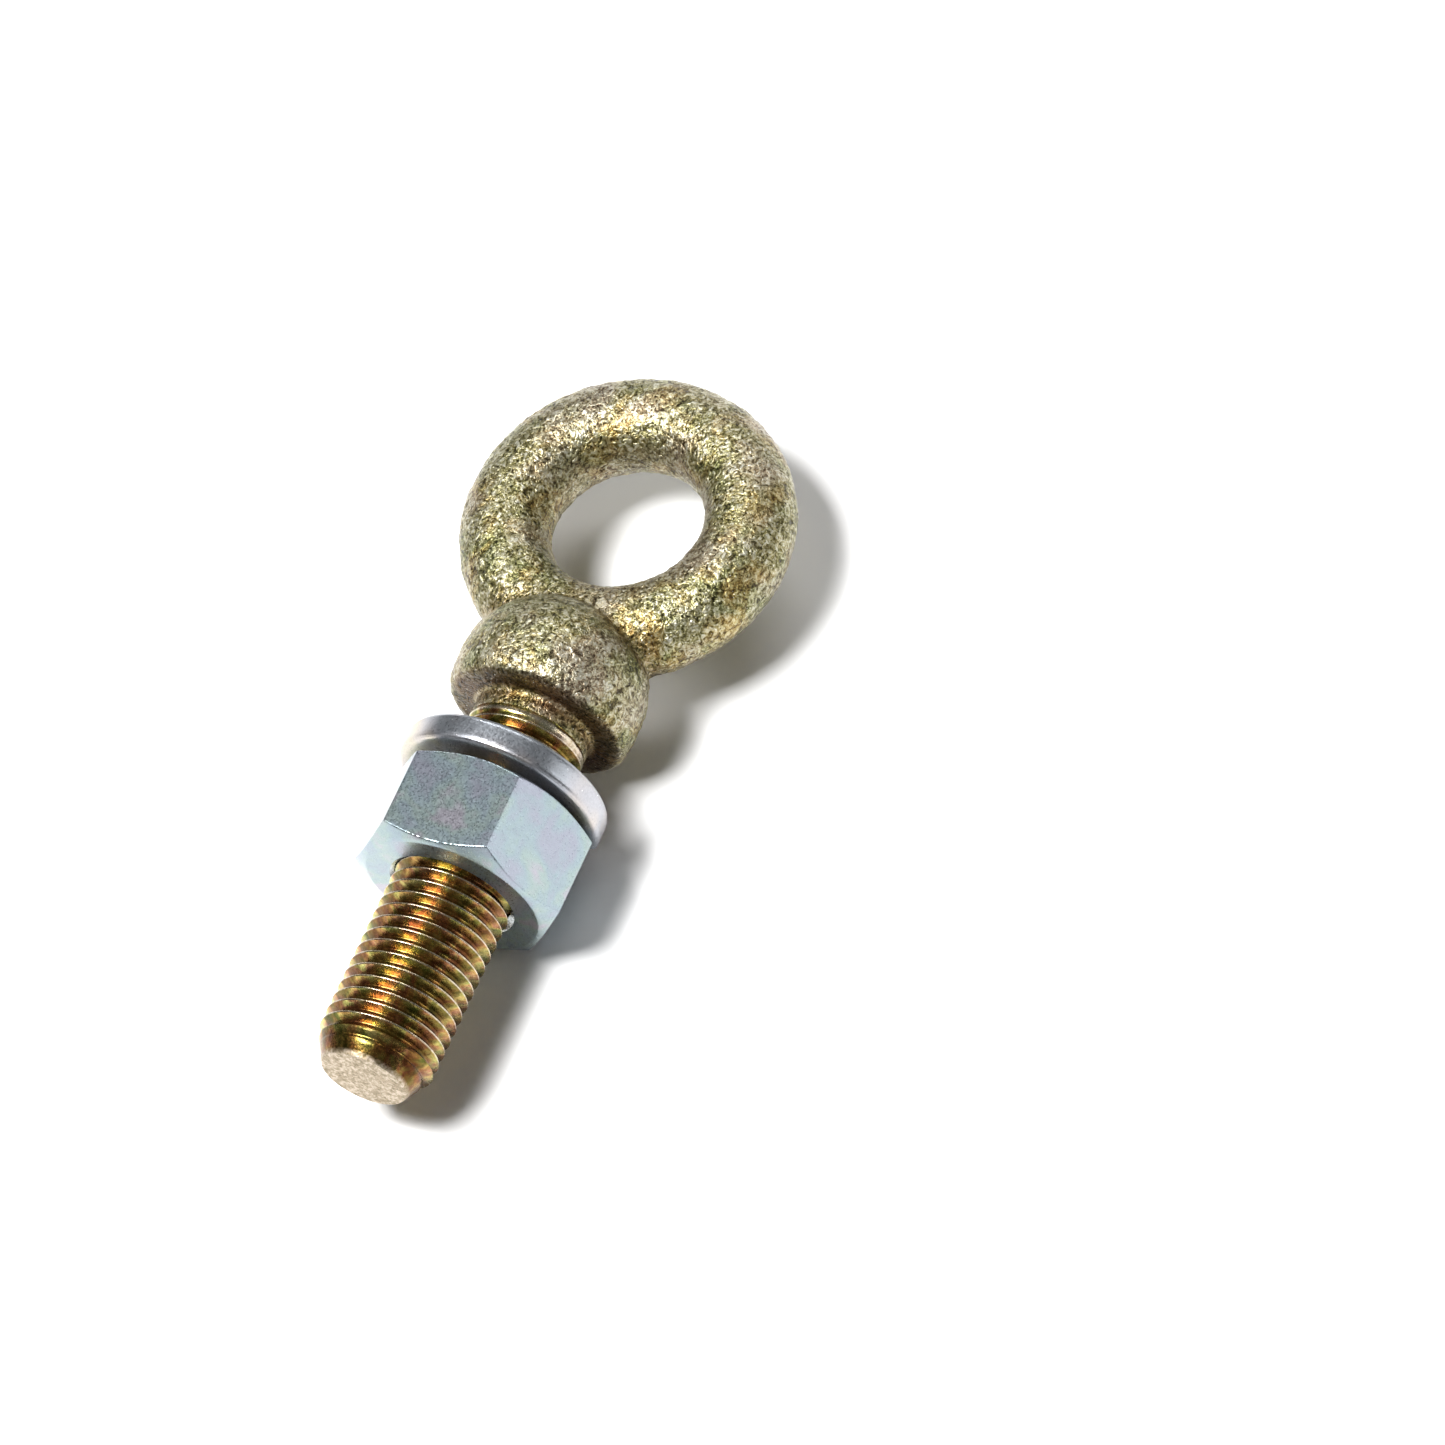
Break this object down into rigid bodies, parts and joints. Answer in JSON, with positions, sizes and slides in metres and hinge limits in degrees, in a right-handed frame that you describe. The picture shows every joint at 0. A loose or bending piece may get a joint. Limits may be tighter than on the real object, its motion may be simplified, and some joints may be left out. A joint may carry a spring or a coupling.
{
  "type": "eye bolt",
  "caption": "Forged shoulder eye bolt with a threaded shank, carrying a split spring washer and a hexagon nut, for lifting or anchoring through a plate.",
  "frame": {"origin": "centre of the collar's flat seating face, on the shank's axis", "axes": "+X along the shank towards the thread's free end, +Z square to the plane of the eye, +Y across the eye"},
  "size_m": [0.0748, 0.0308, 0.0194],
  "materials": {
    "yellow_zinc_forging": "yellow-passivated zinc over a pebbly forged skin, iridescent gold, pink and green",
    "bright_zinc_washer": "bright zinc plate, silver grey with a faint warm tint",
    "bright_zinc_nut": "blue-bright zinc plate, satin faces and shiny chamfers"
  },
  "bodies": {
    "bolt": {"eye_bolt": "yellow_zinc_forging"},
    "washer": {"spring_washer": "bright_zinc_washer"},
    "nut": {"hex_nut": "bright_zinc_nut"}
  },
  "joints": [
    {"name": "washer_slide", "type": "slide", "parent": "bolt", "child": "washer", "axis": [-1, 0, 0], "range_m": [-0.03397, 0.00492]},
    {"name": "nut_turn", "type": "hinge", "parent": "washer", "child": "nut", "pos_m": [0.01388, 0, 0], "axis": [-1, 0, 0], "range_deg": [-9630, 1395]}
  ],
  "couplings": [
    {"joint": "nut_turn", "follows": "washer_slide", "rad_per_m": 4947.4}
  ]
}
